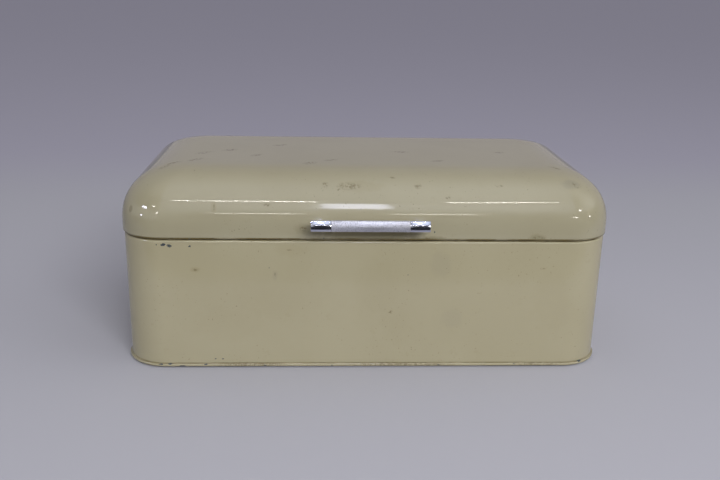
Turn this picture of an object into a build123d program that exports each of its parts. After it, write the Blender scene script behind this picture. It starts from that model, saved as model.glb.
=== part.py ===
from build123d import *
from math import asin, atan2, cos, degrees, hypot, pi, radians, sin, sqrt
import os

# Bread box of pressed, enamelled steel with a lid that lifts on two hinges at the rear.
# Millimetres, Z up, front towards -Y, X to the right, table at Z = 0.

# Overall
box_width = 420.0             # over the body wall, left to right
box_depth = 220.0             # over the body wall, front to rear
box_height = 171.0            # table to the top of the closed lid
corner_radius = 36.0          # plan corner of the body wall
steel = 0.8                   # enamelled sheet, coating included

# Body wall
shoulder_bend = 2.5           # outer radius where the wall turns in under the lid
mouth_flange = 10.0           # inward flange round the mouth, from the wall's outside
mouth_lip = 5.0               # down-turned lip on the flange
lip_bend = 1.6                # outer radius between flange and lip
hook_reach = 0.65             # outward hook at the foot of the wall, held in the seam
hook_bend = 1.0               # outer radius between wall and hook

# Seam bead and base pan
foot_proud = 1.0              # bead clears the table by this much
bead_height = 3.0
bead_proud = 1.6              # bead stands out from the wall
bead_bend = 1.15              # outer radius of the bead's rounded edges
seam_play = 0.2               # between the folded layers of the seam
panel_height = 4.5            # table to the underside of the recessed panel
chuck_bend = 1.7              # outer radius where the panel turns down into the seam
field_margin = 34.0           # plain border of the panel round its raised field
field_rise = 1.2              # height of the raised field
field_corner = 18.0

# Lid
lid_gap = 1.0                 # open seam between the body and the closed lid
lid_band = 7.1                # straight band between the seam and the lid's edge
lid_overhang = 1.3            # lid stands proud of the body wall all round
lid_edge_width = 54.5         # half axis of the lid's elliptical edge, across
lid_edge_height = 46.5        # half axis of the same edge, up
lid_top_corner = 14.5         # plan corner where the edge meets the flat top
lid_rim = 8.0                 # inward flange round the lid's mouth, from its outside
lid_rim_bend = 1.0            # rounding of the lid's lower edge
lid_sections = 14             # sections through the drawn edge

# Vents in the rear wall
vent_diameter = 5.0
vent_pitch = 11.0
vent_side = 85.0              # rosette centre inside the body wall's end
vent_drop = 46.4              # rosette centre below the body's top
vent_count = 6                # holes round the middle one

# Feet and lid buffers
foot_diameter = 15.0
foot_taper = 6.0              # degrees
foot_edge = 0.8
foot_inset = 30.0             # foot centre inside the body wall, both ways
buffer_side = 60.0            # buffer centre inside the body wall's end
buffer_inset = 6.0            # buffer centre inside its front
buffer_head = 5.2
buffer_stem = 3.0
buffer_barb = 4.0
buffer_tail = 2.6             # below the flange
buffer_play = 0.1             # under the closed lid and in its hole

# Hinges
hinge_side = 100.0            # hinge centre inside the body wall's end
hinge_width = 50.0
hinge_steel = 1.0
pin_diameter = 2.4
pin_play = 0.05               # radial, in the knuckles
pin_head_diameter = 3.8
pin_head_length = 0.8
knuckle_count = 5
knuckle_length = 5.6
knuckle_play = 0.4            # between knuckles, and round them
lid_opening = 105.0           # degrees, until the stop tails meet
body_tail_slope = 45.0        # degrees below level
tail_reach = 6.0              # stop tail, from the pin's axis
stop_play = 0.2               # left between the two tails at full opening
leaf_seat = 0.1               # between a leaf and the sheet it is riveted to
leaf_bend = 1.2               # middle-line radius of the folds
body_leaf_drop = 24.0         # below the pin's axis
lid_leaf_angle = 15.0         # how far up the lid's edge its leaf reaches, in degrees
notch_play = 0.5              # round a leaf where it passes through the sheet

# Rivets
rivet_diameter = 3.0
rivet_head = 5.6
rivet_dome = 1.2
rivet_tail = 4.8
rivet_tail_height = 0.9
rivet_play = 0.05
rivet_pitch = 17.0
body_rivet_drop = 14.0        # below the pin's axis
lid_rivet_angle = 6.0         # on the lid's edge, in degrees

# Handle
handle_rise = 14.2            # lid's lower edge to the screws where they leave it
handle_gap = 16.0             # finger gap between lid and bar
grip_length = 64.0            # satin middle of the bar
end_length = 16.75            # bright end of the bar
bar_height = 9.0
bar_depth = 6.0
bar_crown = 0.9               # rise of its rounded front
bar_edge = 0.6                # rounding of its long front edges
bar_back_edge = 1.2
end_edge = 0.4
joint_play = 0.05             # between the bar's pieces
tenon_length = 7.0
tenon_height = 5.0
tenon_depth = 2.8
screw_spacing = 86.0
post_width = 8.0
post_top = 7.4                # post height where it leaves the bar
post_foot = 5.2               # post height on the lid
post_edge = 1.4
post_seat = 0.05              # between the post and the lid
screw_diameter = 4.0
screw_depth = 9.0             # into the post
screw_play = 0.05
screw_hole_play = 0.25        # radial, in the lid and the washer
screw_head = 7.6
screw_head_height = 2.6
screw_head_edge = 1.1
washer_diameter = 10.0
washer_thickness = 0.8

# Heights and places that follow from the sizes above
lid_edge_start = box_height - lid_edge_height
lid_bottom = lid_edge_start - lid_band
seam_height = lid_bottom - lid_gap
handle_height = lid_bottom + handle_rise
buffer_spacing = box_width - 2 * buffer_side
hinge_spacing = box_width - 2 * hinge_side
vent_spacing = box_width - 2 * vent_side
vent_height = seam_height - vent_drop
bore = pin_diameter / 2 + pin_play
barrel = bore + hinge_steel
pin_height = seam_height + lid_gap / 2
pin_setback = lid_overhang + knuckle_play + barrel
leaf_drop = bore + hinge_steel / 2
lid_tail_slope = lid_opening - body_tail_slope


def lid_edge_point(angle, inward=0.0):
    """Inset from the body wall's outside, and height, on the lid's edge, `inward` under its skin."""
    across, up = lid_edge_height * cos(angle), lid_edge_width * sin(angle)
    length = hypot(across, up)
    inset = lid_edge_width * (1 - cos(angle)) - lid_overhang + inward * across / length
    height = lid_edge_start + lid_edge_height * sin(angle) - inward * up / length
    return inset, height


def lid_edge_slope(angle):
    """How far the lid's skin leans back from upright, in radians."""
    return atan2(lid_edge_width * sin(angle), lid_edge_height * cos(angle))


handle_angle = asin((handle_height - lid_edge_start) / lid_edge_height)
handle_tilt = lid_edge_slope(handle_angle)
handle_inset = lid_edge_point(handle_angle)[0]

# The box is centred between its foremost and rearmost points: the bar's crown and a stop tail
crown_radius = (bar_height ** 2 / 4 + bar_crown ** 2) / (2 * bar_crown)
bar_front = handle_gap + bar_depth
front_reach = (bar_front - crown_radius) * cos(handle_tilt) + crown_radius - handle_inset
tail_slope = radians(body_tail_slope)
rear_reach = pin_setback + tail_reach * cos(tail_slope) - stop_play / 2 * sin(tail_slope)
box_centre = Pos(0, (front_reach - rear_reach) / 2, 0)


def plan(outset, height, corner):
    """Rounded rectangle of the box's plan, `outset` beyond the body wall."""
    outline = RectangleRounded(box_width + 2 * outset, box_depth + 2 * outset, corner)
    return Pos(0, 0, height) * outline


def plan_path():
    """Outside of the body wall in plan."""
    return RectangleRounded(box_width, box_depth, corner_radius).face().outer_wire()


def folded_ring(points, bends):
    """Sheet folded along `points` (outward, height of its middle line), run round the box."""
    station = Plane(origin=(0, -box_depth / 2, 0), x_dir=(0, -1, 0), z_dir=(-1, 0, 0))
    profile = trace(FilletPolyline(*points, radius=bends), line_width=steel)
    return sweep((station * profile).face(), path=plan_path())


def rear_plane(x=0.0):
    """Side view of the rear wall: first axis to the rear from its outside, second axis up."""
    return Plane(origin=(x, box_depth / 2, 0), x_dir=(0, 1, 0), z_dir=(1, 0, 0))


def along_x(profile, length):
    """Prism of a side-view profile, centred on the profile's plane."""
    return extrude(profile, amount=length / 2, both=True)


def hinge_places():
    return [("left", -hinge_spacing / 2), ("right", hinge_spacing / 2)]


def leaf_notch(x, low, high):
    """Room for a hinge leaf on its way through the rear of the sheet, between two heights."""
    inner = steel + leaf_seat + hinge_steel + notch_play
    outer = lid_overhang + notch_play
    side = Pos((outer - inner) / 2, (low + high) / 2) * Rectangle(outer + inner, high - low)
    return along_x(rear_plane(x) * side, hinge_width + 2 * notch_play)


def rivet_holes(places):
    """Clearance drills through every rivet place."""
    drill = Cylinder(rivet_diameter / 2 + rivet_play, 8 * steel)
    return [place * drill for place in places]


def body_rivet_places():
    """Rivet axes through the rear wall, first axis along the box, third axis outwards."""
    places = []
    for _, x in hinge_places():
        seat = Plane(
            origin=(x, box_depth / 2, pin_height - body_rivet_drop),
            x_dir=(1, 0, 0), z_dir=(0, 1, 0),
        )
        places += [seat * Pos(step * rivet_pitch, 0, 0) for step in (-1, 0, 1)]
    return places


def lid_rivet_places():
    """Rivet axes through the lid's rear edge, square to its skin."""
    angle = radians(lid_rivet_angle)
    slope = lid_edge_slope(angle)
    inset, height = lid_edge_point(angle)
    places = []
    for _, x in hinge_places():
        seat = Plane(
            origin=(x, box_depth / 2 - inset, height),
            x_dir=(1, 0, 0), z_dir=(0, cos(slope), sin(slope)),
        )
        places += [seat * Pos(step * rivet_pitch, 0, 0) for step in (-1, 0, 1)]
    return places


def handle_seat():
    """Handle's own plane on the lid: first axis along the bar, third axis square to the skin."""
    return Plane(
        origin=(0, handle_inset - box_depth / 2, handle_height),
        x_dir=(1, 0, 0), z_dir=(0, -cos(handle_tilt), sin(handle_tilt)),
    )


def screw_places():
    return [handle_seat() * Pos(side * screw_spacing / 2, 0, 0) for side in (-1, 1)]


# Body wall: one band with a hook for the seam, a rounded shoulder, a flange and a lip

bead_top = foot_proud + bead_height
hook_height = foot_proud + steel + seam_play + steel / 2


def body_wall():
    middle = -steel / 2
    wall = folded_ring(
        [
            (hook_reach, hook_height),
            (middle, hook_height),
            (middle, seam_height + middle),
            (-mouth_flange + steel / 2, seam_height + middle),
            (-mouth_flange + steel / 2, seam_height - mouth_lip),
        ],
        [hook_bend - steel / 2, shoulder_bend - steel / 2, lip_bend - steel / 2],
    )
    for _, x in hinge_places():
        low = pin_height - barrel - notch_play
        wall -= leaf_notch(x, low, seam_height + steel)
    wall -= rivet_holes(body_rivet_places())
    wall -= vent_drills()
    wall -= [place * Cylinder(buffer_stem / 2 + buffer_play, 4 * steel) for place in buffer_places()]
    return wall


def vent_drills():
    """Two rosettes through the rear wall, one hole in the middle of each."""
    drill = Cylinder(vent_diameter / 2, 4 * steel)
    drills = []
    for side in (-1, 1):
        centre = Plane(
            origin=(side * vent_spacing / 2, box_depth / 2 - steel / 2, vent_height),
            x_dir=(1, 0, 0), z_dir=(0, 1, 0),
        )
        drills.append(centre * drill)
        drills += [centre * place * drill for place in PolarLocations(vent_pitch, vent_count)]
    return drills


def buffer_places():
    y = -box_depth / 2 + buffer_inset
    return [Pos(side * buffer_spacing / 2, y, seam_height) for side in (-1, 1)]


# Base pan: recessed panel whose rim folds down, out and up round the wall's hook

def base_pan():
    chuck = -(steel + seam_play + steel / 2)
    outside = bead_proud - steel / 2
    border = 8 * steel
    rim = folded_ring(
        [
            (chuck - border, panel_height + steel / 2),
            (chuck, panel_height + steel / 2),
            (chuck, foot_proud + steel / 2),
            (outside, foot_proud + steel / 2),
            (outside, bead_top - steel / 2),
            (seam_play / 2, bead_top - steel / 2),
        ],
        [
            chuck_bend - steel / 2, bead_bend - steel / 2, bead_bend - steel / 2,
            bead_bend - steel / 2,
        ],
    )
    inset = chuck - border + steel
    panel = extrude(plan(inset, panel_height, corner_radius + inset), steel)
    return rim + panel + raised_field(steel) - raised_field(0)


def raised_field(thickness):
    """Embossed middle of the panel, or the hollow under it where `thickness` is nothing."""
    foot = RectangleRounded(
        box_width - 2 * field_margin + 2 * thickness,
        box_depth - 2 * field_margin + 2 * thickness,
        field_corner + thickness,
    )
    return extrude(Pos(0, 0, panel_height) * foot, field_rise + thickness, taper=45)


def foot():
    """Turned rubber foot, stuck under the panel."""
    outline = Circle(foot_diameter / 2)
    turned = extrude(Pos(0, 0, panel_height) * outline, -panel_height, taper=foot_taper)
    return chamfer(turned.edges().group_by(Axis.Z)[0], foot_edge)


def foot_places():
    x, y = box_width / 2 - foot_inset, box_depth / 2 - foot_inset
    return {
        "front_left": (-x, -y), "front_right": (x, -y),
        "rear_left": (-x, y), "rear_right": (x, y),
    }


def buffer():
    """Soft button pushed into the mouth flange, its head set for the seam's gap."""
    head, stem, barb = buffer_head / 2, buffer_stem / 2, buffer_barb / 2
    outline = Polyline(
        (0, lid_gap - buffer_play), (head - lid_gap / 3, lid_gap - buffer_play),
        (head, lid_gap / 2), (head, 0), (stem, 0), (stem, -steel - buffer_play),
        (barb, -steel - buffer_play), (stem * 0.6, -steel - buffer_tail),
        (0, -steel - buffer_tail), (0, lid_gap - buffer_play),
    )
    return revolve(Plane.XZ * make_face(outline), Axis.Z)


# Lid: a drawn shell with elliptical edges that close in on the flat top

def lid_block(inward, floor, rim_bend=0.0):
    """Solid that fills the lid `inward` under its skin, down to `floor`."""
    lofted = []
    for step in range(lid_sections):
        angle = pi / 2 * step / (lid_sections - 1)
        inset, height = lid_edge_point(angle, inward)
        blend = 1 - cos(angle)
        corner = (corner_radius + lid_overhang) * (1 - blend) + lid_top_corner * blend
        skin = inset - lid_edge_point(angle)[0]
        lofted.append(plan(-inset, height, corner - skin))
    dome = loft(lofted)
    outset = lid_overhang - inward
    band = extrude(plan(outset, floor, corner_radius + outset), lid_edge_start - floor)
    if rim_bend:
        band = fillet(band.edges().group_by(Axis.Z)[0], rim_bend)
    return band + dome


def lid_shell():
    mouth = lid_overhang - lid_rim
    shell = lid_block(0, lid_bottom, lid_rim_bend) - lid_block(steel, lid_bottom + steel)
    shell -= extrude(plan(mouth, lid_bottom - steel, corner_radius + mouth), 3 * steel)
    for _, x in hinge_places():
        high = pin_height + barrel + notch_play
        shell -= leaf_notch(x, lid_bottom - steel, high)
    shell -= rivet_holes(lid_rivet_places())
    drill = Cylinder(screw_diameter / 2 + screw_hole_play, 8 * steel)
    shell -= [place * drill for place in screw_places()]
    return shell


# Hinges: folded leaves with interleaved knuckles and a pair of stop tails behind the pin

def tail_points(slope):
    """Tip and fold of a stop tail whose face lies on a plane through the pin's axis."""
    shift = stop_play / 2 + hinge_steel / 2
    fold = (leaf_drop - shift * cos(slope)) / sin(slope)
    return [
        (run * cos(slope) - shift * sin(slope), run * sin(slope) + shift * cos(slope))
        for run in (tail_reach, fold)
    ]


def knuckle_offsets(owner):
    """Places of the knuckles along the pin: even ones on the body leaf, odd ones on the lid's."""
    pitch = knuckle_length + knuckle_play
    first = 0 if owner == "body" else 1
    return [(i - (knuckle_count - 1) / 2) * pitch for i in range(first, knuckle_count, 2)]


def pin_length():
    return knuckle_count * (knuckle_length + knuckle_play)


def knuckled(leaf, x, owner, side):
    """Clear the leaf round the pin and add its own knuckles; `side` is the leaf's side of it."""
    axis = rear_plane(x) * Pos(pin_setback, pin_height)
    reach = barrel + knuckle_play
    span = pin_length() + 2 * (pin_head_length + knuckle_play)
    clear = Pos(0, 0) * Rectangle(2 * reach, 4 * reach) + Pos(reach, 0) * Rectangle(4 * reach, 4 * reach)
    leaf -= along_x(axis * clear, span)
    for offset in knuckle_offsets(owner):
        strap = Pos(-reach, side * leaf_drop) * Rectangle(2 * reach, hinge_steel)
        knuckle = strap + Circle(barrel) - Circle(bore)
        at = rear_plane(x + offset) * Pos(pin_setback, pin_height)
        leaf += along_x(at * knuckle, knuckle_length)
    return leaf


def body_leaf(x):
    seat = -(steel + leaf_seat + hinge_steel / 2)
    tip, fold = tail_points(radians(body_tail_slope))
    line = FilletPolyline(
        (pin_setback + tip[0], pin_height - tip[1]),
        (pin_setback + fold[0], pin_height - fold[1]),
        (seat, pin_height - leaf_drop),
        (seat, pin_height - body_leaf_drop),
        radius=[leaf_bend, leaf_bend],
    )
    leaf = along_x(rear_plane(x) * trace(line, line_width=hinge_steel), hinge_width)
    leaf = knuckled(leaf, x, "body", -1)
    return leaf - rivet_holes(body_rivet_places())


def lid_leaf(x):
    seat = lid_overhang - steel - leaf_seat
    tip, fold = tail_points(radians(lid_tail_slope))
    line = FilletPolyline(
        (pin_setback + tip[0], pin_height + tip[1]),
        (pin_setback + fold[0], pin_height + fold[1]),
        (seat - hinge_steel / 2, pin_height + leaf_drop),
        (seat - hinge_steel / 2, lid_edge_start),
        radius=[leaf_bend, leaf_bend],
    )
    side = trace(line, line_width=hinge_steel) + formed_leaf_top()
    leaf = knuckled(along_x(rear_plane(x) * side, hinge_width), x, "lid", 1)
    return leaf - rivet_holes(lid_rivet_places())


def formed_leaf_top():
    """Upper end of the lid's leaf, formed to the inside of the lid's edge."""
    def skin(depth):
        angles = [radians(lid_leaf_angle) * share for share in (0, 0.5, 1)]
        return [(-inset, height) for inset, height in (lid_edge_point(a, depth) for a in angles)]

    outer = skin(steel + leaf_seat)
    inner = skin(steel + leaf_seat + hinge_steel)
    outline = ThreePointArc(*outer) + Line(outer[2], inner[2])
    outline += ThreePointArc(*reversed(inner)) + Line(inner[0], outer[0])
    return make_face(outline)


def hinge_pin(x):
    """Pin peened over at both ends of the knuckles."""
    place = Location((x, box_depth / 2 + pin_setback, pin_height), (0, 90, 0))
    head_at = pin_length() / 2 + pin_head_length / 2
    pin = Cylinder(pin_diameter / 2, pin_length())
    head = chamfer(Cylinder(pin_head_diameter / 2, pin_head_length).edges(), pin_head_length / 4)
    return place * (pin + Pos(0, 0, head_at) * head + Pos(0, 0, -head_at) * head)


def rivet(lift=0.0):
    """Rivet through sheet and leaf: domed head outside, flattened tail `lift` off the leaf."""
    grip = steel + leaf_seat + hinge_steel + rivet_play + lift
    shank, head, tail = rivet_diameter / 2, rivet_head / 2, rivet_tail / 2
    dome = Line((0, -grip - rivet_tail_height), (0, rivet_play + rivet_dome))
    dome += ThreePointArc(
        (0, rivet_play + rivet_dome), (head * 0.68, rivet_play + rivet_dome * 0.62),
        (head, rivet_play),
    )
    dome += Polyline(
        (head, rivet_play), (shank, rivet_play), (shank, -grip), (tail, -grip),
        (tail * 0.85, -grip - rivet_tail_height), (0, -grip - rivet_tail_height),
    )
    return revolve(Plane.XZ * make_face(dome), Axis.Z)


# Handle: a satin bar between two bright cast ends, each with a post to the lid

def bar_section(x):
    """Flat-backed bar with a gently rounded front, in the plane `x` along the handle."""
    half, front = bar_height / 2, bar_front - bar_crown
    outline = Polyline((-half, front), (-half, handle_gap), (half, handle_gap), (half, front))
    outline += ThreePointArc((half, front), (0, bar_front), (-half, front))
    section = make_face(outline)
    corners = section.vertices().group_by(Axis.Y)
    section = fillet(corners[0], bar_back_edge)
    section = fillet(section.vertices().group_by(Axis.Y)[-1], bar_edge)
    return Plane(origin=(x, 0, 0), x_dir=(0, 1, 0), z_dir=(1, 0, 0)) * section


def tenon(x, length, play=0.0):
    """Tongue that joins the bar's pieces, `play` larger all round for its socket."""
    middle = handle_gap + (bar_depth - bar_crown) / 2
    section = RectangleRounded(tenon_height + 2 * play, tenon_depth + 2 * play, tenon_depth / 4)
    section = Pos(0, middle) * section
    return extrude(Plane(origin=(x, 0, 0), x_dir=(0, 1, 0), z_dir=(1, 0, 0)) * section, length)


def handle_grip():
    start = -grip_length / 2
    bar = extrude(bar_section(start), grip_length)
    return bar + tenon(start - tenon_length, grip_length + 2 * tenon_length)


def handle_end():
    """Right-hand end; the left one is its mirror image."""
    start = grip_length / 2 + joint_play
    bar = extrude(bar_section(start), end_length - joint_play)
    bar = fillet(bar.faces().sort_by(Axis.X)[-1].edges(), end_edge)
    middle = screw_spacing / 2
    root = Pos(middle, 0, handle_gap + bar_back_edge) * RectangleRounded(post_width, post_top, post_edge)
    base = Pos(middle, 0, post_seat) * RectangleRounded(post_width, post_foot, post_edge)
    bar += loft([base, root])
    bar -= tenon(start - joint_play, tenon_length + 4 * joint_play, joint_play)
    depth = screw_depth + 4 * screw_play
    bore_hole = Cylinder(
        screw_diameter / 2 + screw_play, depth, align=(Align.CENTER, Align.CENTER, Align.MIN)
    )
    return bar - Pos(middle, 0, 0) * bore_hole


def hollow_lift(angle, depth, radius):
    """Room under a flat disc on the lid's hollow side, `depth` under its skin."""
    across, up = lid_edge_height * cos(angle), lid_edge_width * sin(angle)
    curve = hypot(across, up) ** 3 / (lid_edge_width * lid_edge_height) - depth
    return curve - sqrt(curve ** 2 - radius ** 2)


def washer_face():
    """Depth under the lid's skin of the washers' outer face."""
    return steel + hollow_lift(handle_angle, steel, washer_diameter / 2) + post_seat


def washer():
    ring = Circle(washer_diameter / 2) - Circle(screw_diameter / 2 + screw_hole_play)
    return extrude(Pos(0, 0, -washer_face()) * ring, -washer_thickness)


def screw():
    """Pan-head screw from inside the lid."""
    seat = -(washer_face() + washer_thickness)
    shank = extrude(Pos(0, 0, seat) * Circle(screw_diameter / 2), screw_depth - seat)
    head = extrude(Pos(0, 0, seat) * Circle(screw_head / 2), -screw_head_height)
    return shank + chamfer(head.edges().group_by(Axis.Z)[0], screw_head_edge)


# Sub-parts, each under its own name, as one or more solids

def sub_parts():
    seat = handle_seat()
    end = handle_end()
    lid_rivet_depth = steel + leaf_seat + hinge_steel
    lid_lift = hollow_lift(radians(lid_rivet_angle), lid_rivet_depth, rivet_tail / 2)
    parts = {
        "body_wall": [body_wall()],
        "base_pan": [base_pan()],
        "lid_shell": [lid_shell()],
        "handle_grip": [seat * handle_grip()],
        "handle_end_right": [seat * end],
        "handle_end_left": [seat * mirror(end, about=Plane.YZ)],
        "handle_washers": [place * washer() for place in screw_places()],
        "handle_screws": [place * screw() for place in screw_places()],
        "hinge_rivets_body": [place * rivet() for place in body_rivet_places()],
        "hinge_rivets_lid": [place * rivet(lid_lift) for place in lid_rivet_places()],
    }
    for name, (x, y) in foot_places().items():
        parts[f"foot_{name}"] = [Pos(x, y, 0) * foot()]
    for name, place in zip(("left", "right"), buffer_places()):
        parts[f"lid_buffer_{name}"] = [place * buffer()]
    for name, x in hinge_places():
        parts[f"hinge_{name}_body_leaf"] = [body_leaf(x)]
        parts[f"hinge_{name}_lid_leaf"] = [lid_leaf(x)]
        parts[f"hinge_{name}_pin"] = [hinge_pin(x)]
    return parts


os.makedirs("parts", exist_ok=True)
for name, pieces in sub_parts().items():
    solids = [box_centre * solid for piece in pieces for solid in piece.solids()]
    export_step(Compound(children=solids), f"parts/{name}.step")

print("pin axis", box_depth / 2 + pin_setback + box_centre.position.Y, pin_height)
print("box centre", box_centre.position.Y, "handle tilt", degrees(handle_tilt))
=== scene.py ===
import bmesh
import bpy
from math import asin, atan2, cos, pi, radians, sin
from mathutils import Matrix, Vector


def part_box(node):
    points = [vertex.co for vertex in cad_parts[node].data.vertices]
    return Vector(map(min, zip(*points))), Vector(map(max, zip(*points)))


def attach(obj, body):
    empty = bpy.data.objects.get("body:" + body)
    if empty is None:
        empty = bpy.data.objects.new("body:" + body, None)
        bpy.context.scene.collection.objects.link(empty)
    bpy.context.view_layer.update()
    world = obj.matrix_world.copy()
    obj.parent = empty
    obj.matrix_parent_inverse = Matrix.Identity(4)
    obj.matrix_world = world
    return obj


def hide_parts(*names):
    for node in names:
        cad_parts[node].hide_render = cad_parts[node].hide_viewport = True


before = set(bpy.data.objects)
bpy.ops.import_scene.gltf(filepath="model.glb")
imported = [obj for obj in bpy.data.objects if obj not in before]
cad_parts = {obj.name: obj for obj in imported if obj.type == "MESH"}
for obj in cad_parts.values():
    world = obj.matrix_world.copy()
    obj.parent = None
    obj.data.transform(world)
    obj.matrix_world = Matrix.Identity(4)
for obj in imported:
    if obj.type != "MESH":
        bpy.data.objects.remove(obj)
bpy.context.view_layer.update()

# Camera, standing a little left of the box's middle and looking down on it.
# Its height, turn and lens follow from the box's edges in the photograph.
camera_place = Vector((-0.0421, -0.7787, 0.3324))
camera_turn, camera_dip, camera_roll = 0.051, 0.308, 0.020
film_width, photo_width, focal_pixels = 36, 720, 845.9

camera = bpy.data.objects.new("camera", bpy.data.cameras.new("camera"))
camera.data.sensor_width = film_width
camera.data.lens = film_width * focal_pixels / photo_width
camera.matrix_world = (
    Matrix.Translation(camera_place)
    @ Matrix.Rotation(-camera_turn, 4, "Z")
    @ Matrix.Rotation(pi / 2 - camera_dip, 4, "X")
    @ Matrix.Rotation(camera_roll, 4, "Z")
)
bpy.context.scene.collection.objects.link(camera)
bpy.context.scene.camera = camera
bpy.context.scene.view_settings.view_transform = "Standard"


# Floor, a plain pale sheet that runs far past the picture on every side. Behind the box it
# darkens gently to the tone of the backdrop. In front it turns dark, like the end of a table,
# but only to the light and in what the box mirrors, not to the camera.
def colour(red, green, blue, alpha=1.0):
    """A screen colour of 0 to 255 a channel as Blender's linear one."""
    def linear(value):
        value /= 255
        return value / 12.92 if value <= 0.04045 else ((value + 0.055) / 1.055) ** 2.4
    return linear(red), linear(green), linear(blue), alpha


def add_node(tree, kind, inputs=None, **settings):
    """A shader node with its settings, and each input a value or another node's socket."""
    made = tree.nodes.new(kind)
    for name, value in settings.items():
        setattr(made, name, value)
    for name, value in (inputs or {}).items():
        if isinstance(value, bpy.types.NodeSocket):
            tree.links.new(value, made.inputs[name])
        else:
            made.inputs[name].default_value = value
    return made


def part_of(tree, vector, axis):
    """One of a vector's three parts: X, Y or Z."""
    return add_node(tree, "ShaderNodeSeparateXYZ", {"Vector": vector}).outputs[axis]


def step_up(tree, value, start, end, low=0.0, high=1.0):
    """A soft step from low to high as the value goes from start to end."""
    return add_node(tree, "ShaderNodeMapRange", {
        "Value": value, "From Min": start, "From Max": end, "To Min": low, "To Max": high,
    }, interpolation_type="SMOOTHSTEP").outputs["Result"]


def calculate(tree, operation, first, second=0.5, third=0.5):
    """One Math node."""
    return add_node(tree, "ShaderNodeMath", {0: first, 1: second, 2: third},
                    operation=operation).outputs[0]


def blend_colour(tree, share, first, second, blend_type="MIX"):
    """First colour turning into the second by a share of 0 to 1."""
    return add_node(tree, "ShaderNodeMix", {0: share, 6: first, 7: second},
                    data_type="RGBA", blend_type=blend_type).outputs[2]


def new_material(name):
    """An empty node material with its Principled BSDF."""
    made = bpy.data.materials.new(name)
    made.use_nodes = True
    return made, made.node_tree, made.node_tree.nodes["Principled BSDF"]


floor_size, floor_squares, floor_roughness = 60, 8, 0.65
floor_near, floor_far = colour(182, 182, 192), colour(178, 176, 192)
floor_fade_start, floor_fade_end = 0.40, 0.85
table_end, table_fade, table_dark = -0.36, 0.12, (0.02, 0.02, 0.022, 1)

bpy.ops.object.select_all(action="DESELECT")
bpy.ops.mesh.primitive_grid_add(x_subdivisions=floor_squares, y_subdivisions=floor_squares, size=floor_size)
floor = bpy.context.object
floor.name = "floor"
material, tree, surface = new_material("floor_board")
depth = part_of(tree, add_node(tree, "ShaderNodeTexCoord").outputs["Object"], "Y")
tone = blend_colour(tree, step_up(tree, depth, floor_fade_start, floor_fade_end), floor_near, floor_far)
seen = add_node(tree, "ShaderNodeLightPath").outputs["Is Camera Ray"]
unseen = calculate(tree, "SUBTRACT", 1.0, seen)
past_table = step_up(tree, depth, table_end, table_end - table_fade, 0.0, unseen)
tree.links.new(blend_colour(tree, past_table, tone, table_dark), surface.inputs["Base Color"])
surface.inputs["Roughness"].default_value = floor_roughness
surface.inputs["Specular IOR Level"].default_value = 0.0
floor.data.materials.append(material)


# Room light, by direction: pale low in front and on the left, bright high on the right and dim
# elsewhere, with a pale ceiling and a grey wall behind. Glossy pieces mirror a bright window
# over a dark strip in front instead, and the camera sees a plain grey backdrop.
window_turn, window_half, window_whole = 0.07, 0.40, 0.20
gleam_foot, gleam_full = 0.14, 0.46
gleam_tone, strip_tone = (1.20, 1.28, 1.45, 1), (0.03, 0.03, 0.035, 1)
low_glow, low_right_glow, low_right_start, low_right_full = 0.80, 0.10, 0.10, 0.60
high_glow, high_start, high_full = 0.05, 0.27, 0.43
left_glow, right_glow, side_start, side_full = 0.02, 1.30, 0.3, 0.8
ceiling_glow, ceiling_start, ceiling_full = 0.58, 0.72, 0.90
wall_grey, wall_top, wall_fade = (0.37, 0.352, 0.385, 1), 0.85, 0.05
behind_start, behind_full = -0.15, 0.45
backdrop = (0.23, 0.227, 0.279, 1)

world = bpy.data.worlds.new("room")
bpy.context.scene.world = world
world.use_nodes = True
tree = world.node_tree


def grey(tree, level):
    """A grey of one level in all three channels."""
    return add_node(tree, "ShaderNodeCombineColor", {
        "Red": level, "Green": level, "Blue": level}).outputs[0]


direction = add_node(tree, "ShaderNodeTexCoord").outputs["Generated"]
ray = add_node(tree, "ShaderNodeLightPath").outputs
sideways, height = part_of(tree, direction, "X"), part_of(tree, direction, "Z")
off_window = calculate(tree, "ABSOLUTE", calculate(tree, "SUBTRACT", sideways, window_turn))
at_window = step_up(tree, off_window, window_half, window_whole)
ceiling = step_up(tree, height, ceiling_start, ceiling_full, 0.0, ceiling_glow)
left = step_up(tree, sideways, -side_start, -side_full, 0.0, left_glow)
right = step_up(tree, sideways, side_start, side_full, 0.0, right_glow)
low = step_up(tree, sideways, low_right_start, low_right_full, low_glow, low_right_glow)
high = calculate(tree, "MAXIMUM", calculate(tree, "MULTIPLY", at_window, high_glow), ceiling)
high = calculate(tree, "ADD", high, calculate(tree, "ADD", left, right))
in_front = blend_colour(tree, step_up(tree, height, high_start, high_full), grey(tree, low), grey(tree, high))
gleam = blend_colour(tree, step_up(tree, height, gleam_foot, gleam_full), strip_tone, gleam_tone)
mirrored = calculate(tree, "MULTIPLY", at_window, ray["Is Glossy Ray"])
in_front = blend_colour(tree, mirrored, in_front, gleam)
over_wall = step_up(tree, height, wall_top - wall_fade, wall_top + wall_fade)
behind = blend_colour(tree, over_wall, wall_grey, grey(tree, ceiling))
turned_back = step_up(tree, part_of(tree, direction, "Y"), behind_start, behind_full)
glow = blend_colour(tree, turned_back, in_front, behind)
glow = blend_colour(tree, ray["Is Camera Ray"], glow, backdrop)
tree.links.new(glow, tree.nodes["Background"].inputs["Color"])


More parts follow.
